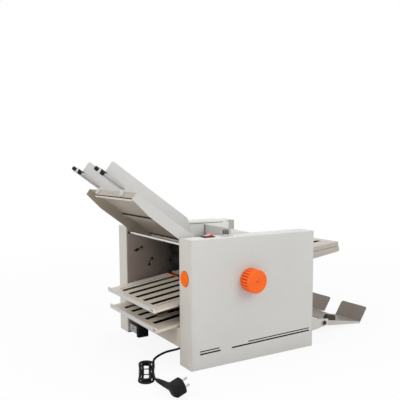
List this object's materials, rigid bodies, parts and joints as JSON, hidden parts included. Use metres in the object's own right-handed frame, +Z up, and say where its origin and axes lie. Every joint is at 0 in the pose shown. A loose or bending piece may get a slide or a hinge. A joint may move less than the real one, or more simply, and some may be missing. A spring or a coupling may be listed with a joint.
{
  "type": "paper folding machine",
  "caption": "Counter-top paper folding machine with a sloping feed tray, side housings, slotted fold plates, roller stack, hand knob and hinged delivery tray.",
  "frame": {"origin": "on the surface that the machine stands on, at the centre of the base beam's underside, which is the middle of the two housings' footprint", "axes": "+X along the paper path from the feed tray to the delivery tray, +Y away from the operator's side with the hand knob, +Z up"},
  "size_m": [0.9643, 0.618, 0.5543],
  "materials": {
    "body_paint": "light grey-white powder coat",
    "frame_paint": "brown-grey coated steel plate",
    "plate_paint": "beige-white powder coat",
    "guide_paint": "light grey powder coat",
    "delivery_paint": "taupe powder coat, slightly glossy",
    "bright_steel": "plain zinc-plated steel",
    "gear_steel": "machined steel",
    "motor_metal": "cast and turned motor housing",
    "roller_rubber": "dark grip rubber on a steel core",
    "orange_plastic": "orange-red moulded plastic",
    "black_plastic": "black moulded plastic",
    "red_plastic": "red rocker plastic",
    "grey_plastic": "grey knob plastic",
    "black_rubber": "black rubber and cord sheath"
  },
  "bodies": {
    "frame": {"near_frame": "frame_paint", "far_frame": "frame_paint", "near_cover": "body_paint", "far_cover": "body_paint", "base_beam": "frame_paint", "tie_rod": "bright_steel", "left_panel": "body_paint", "right_panel": "body_paint", "drive_belt": "black_rubber", "drive_motor": "motor_metal", "side_plug": "orange_plastic", "switch_bezel": "black_plastic", "feed_tray": "body_paint", "separator_pad": "black_rubber", "feed_head_cover": "body_paint", "top_cover": "body_paint", "infeed_guide": "bright_steel", "exit_chute": "bright_steel", "upper_left_fold_plate": "plate_paint", "lower_left_fold_plate": "plate_paint", "upper_right_fold_plate": "plate_paint", "lower_right_fold_plate": "plate_paint", "delivery_bracket": "body_paint", "tray_pivot_rod": "bright_steel", "support_foot": "black_rubber", "foot_bracket": "body_paint", "cord_gland": "black_rubber", "cord_lead": "black_rubber", "cord_hank": "black_rubber", "cord_tie": "black_plastic", "mains_plug": "black_plastic"},
    "main_drive": {"main_roller": "roller_rubber", "main_gear": "gear_steel", "hand_knob": "orange_plastic"},
    "first_drive": {"first_roller": "roller_rubber", "first_gear": "gear_steel"},
    "third_drive": {"third_roller": "roller_rubber", "third_gear": "gear_steel"},
    "fourth_drive": {"fourth_roller": "roller_rubber", "fourth_gear": "gear_steel"},
    "fifth_drive": {"fifth_roller": "roller_rubber", "fifth_gear": "gear_steel"},
    "sixth_drive": {"sixth_roller": "roller_rubber", "sixth_gear": "gear_steel"},
    "idler": {"idler_gear": "gear_steel"},
    "feed_drive": {"feed_roller": "roller_rubber", "feed_gear": "gear_steel"},
    "motor_drive": {"motor_pulley": "gear_steel"},
    "rocker_switch": {"rocker": "red_plastic"},
    "speed_control": {"speed_knob": "grey_plastic"},
    "near_guide": {"near_side_guide": "guide_paint"},
    "far_guide": {"far_side_guide": "guide_paint"},
    "near_stop": {"near_end_stop": "black_plastic"},
    "far_stop": {"far_end_stop": "black_plastic"},
    "upper_left_stop_bar": {"upper_left_stop": "bright_steel"},
    "lower_left_stop_bar": {"lower_left_stop": "bright_steel"},
    "upper_right_stop_bar": {"upper_right_stop": "bright_steel"},
    "lower_right_stop_bar": {"lower_right_stop": "bright_steel"},
    "delivery": {"delivery_tray": "delivery_paint"},
    "sheet_catch": {"delivery_stop": "black_plastic"}
  },
  "joints": [
    {"name": "main_drive_turn", "type": "hinge", "parent": "frame", "child": "main_drive", "pos_m": [-0.0237, 0, 0.2282], "axis": [0, -1, 0], "continuous": true},
    {"name": "first_drive_turn", "type": "hinge", "parent": "frame", "child": "first_drive", "pos_m": [-0.0237, 0, 0.2788], "axis": [0, -1, 0], "continuous": true},
    {"name": "third_drive_turn", "type": "hinge", "parent": "frame", "child": "third_drive", "pos_m": [0.0269, 0, 0.2282], "axis": [0, -1, 0], "continuous": true},
    {"name": "fourth_drive_turn", "type": "hinge", "parent": "frame", "child": "fourth_drive", "pos_m": [0.0269, 0, 0.1776], "axis": [0, -1, 0], "continuous": true},
    {"name": "fifth_drive_turn", "type": "hinge", "parent": "frame", "child": "fifth_drive", "pos_m": [0.0775, 0, 0.1776], "axis": [0, -1, 0], "continuous": true},
    {"name": "sixth_drive_turn", "type": "hinge", "parent": "frame", "child": "sixth_drive", "pos_m": [0.0775, 0, 0.127], "axis": [0, -1, 0], "continuous": true},
    {"name": "idler_turn", "type": "hinge", "parent": "frame", "child": "idler", "pos_m": [-0.0657, 0, 0.288], "axis": [0, -1, 0], "continuous": true},
    {"name": "feed_drive_turn", "type": "hinge", "parent": "frame", "child": "feed_drive", "pos_m": [-0.074, 0, 0.325], "axis": [0, -1, 0], "continuous": true},
    {"name": "motor_drive_turn", "type": "hinge", "parent": "frame", "child": "motor_drive", "pos_m": [-0.0237, 0, 0.064], "axis": [0, -1, 0], "continuous": true},
    {"name": "rocker_tilt", "type": "hinge", "parent": "frame", "child": "rocker_switch", "pos_m": [-0.136, -0.201, 0.349], "axis": [0, 1, 0], "range_deg": [0, 24]},
    {"name": "speed_turn", "type": "hinge", "parent": "frame", "child": "speed_control", "pos_m": [-0.078, -0.201, 0.35], "axis": [0, 0, -1], "range_deg": [0, 270]},
    {"name": "near_guide_slide", "type": "slide", "parent": "frame", "child": "near_guide", "axis": [0, 1, 0], "range_m": [-0.067, 0.048]},
    {"name": "far_guide_slide", "type": "slide", "parent": "frame", "child": "far_guide", "axis": [0, 1, 0], "range_m": [-0.048, 0.065]},
    {"name": "near_stop_slide", "type": "slide", "parent": "near_guide", "child": "near_stop", "axis": [0.8115, 0, -0.5843], "range_m": [0, 0.045]},
    {"name": "far_stop_slide", "type": "slide", "parent": "far_guide", "child": "far_stop", "axis": [0.8115, 0, -0.5843], "range_m": [0, 0.045]},
    {"name": "upper_left_stop_slide", "type": "slide", "parent": "frame", "child": "upper_left_stop_bar", "axis": [-0.9903, 0, -0.1392], "range_m": [-0.03, 0.184]},
    {"name": "lower_left_stop_slide", "type": "slide", "parent": "frame", "child": "lower_left_stop_bar", "axis": [-0.9903, 0, -0.1392], "range_m": [-0.055, 0.188]},
    {"name": "upper_right_stop_slide", "type": "slide", "parent": "frame", "child": "upper_right_stop_bar", "axis": [0.9955, 0, 0.0952], "range_m": [-0.1, 0.228]},
    {"name": "lower_right_stop_slide", "type": "slide", "parent": "frame", "child": "lower_right_stop_bar", "axis": [0.9903, 0, 0.1392], "range_m": [-0.06, 0.218]},
    {"name": "delivery_fold", "type": "hinge", "parent": "frame", "child": "delivery", "pos_m": [0.341, 0, 0.031], "axis": [0, -1, 0], "range_deg": [0, 90]},
    {"name": "sheet_catch_slide", "type": "slide", "parent": "delivery", "child": "sheet_catch", "axis": [0.9848, 0, -0.1736], "range_m": [0, 0.06]}
  ],
  "couplings": [
    {"joint": "first_drive_turn", "follows": "main_drive_turn", "ratio": -1},
    {"joint": "third_drive_turn", "follows": "main_drive_turn", "ratio": -1},
    {"joint": "fourth_drive_turn", "follows": "main_drive_turn", "ratio": 1},
    {"joint": "fifth_drive_turn", "follows": "main_drive_turn", "ratio": -1},
    {"joint": "sixth_drive_turn", "follows": "main_drive_turn", "ratio": 1},
    {"joint": "idler_turn", "follows": "main_drive_turn", "ratio": 1.4286},
    {"joint": "feed_drive_turn", "follows": "main_drive_turn", "ratio": -1.25},
    {"joint": "motor_drive_turn", "follows": "main_drive_turn", "ratio": 2.5}
  ]
}
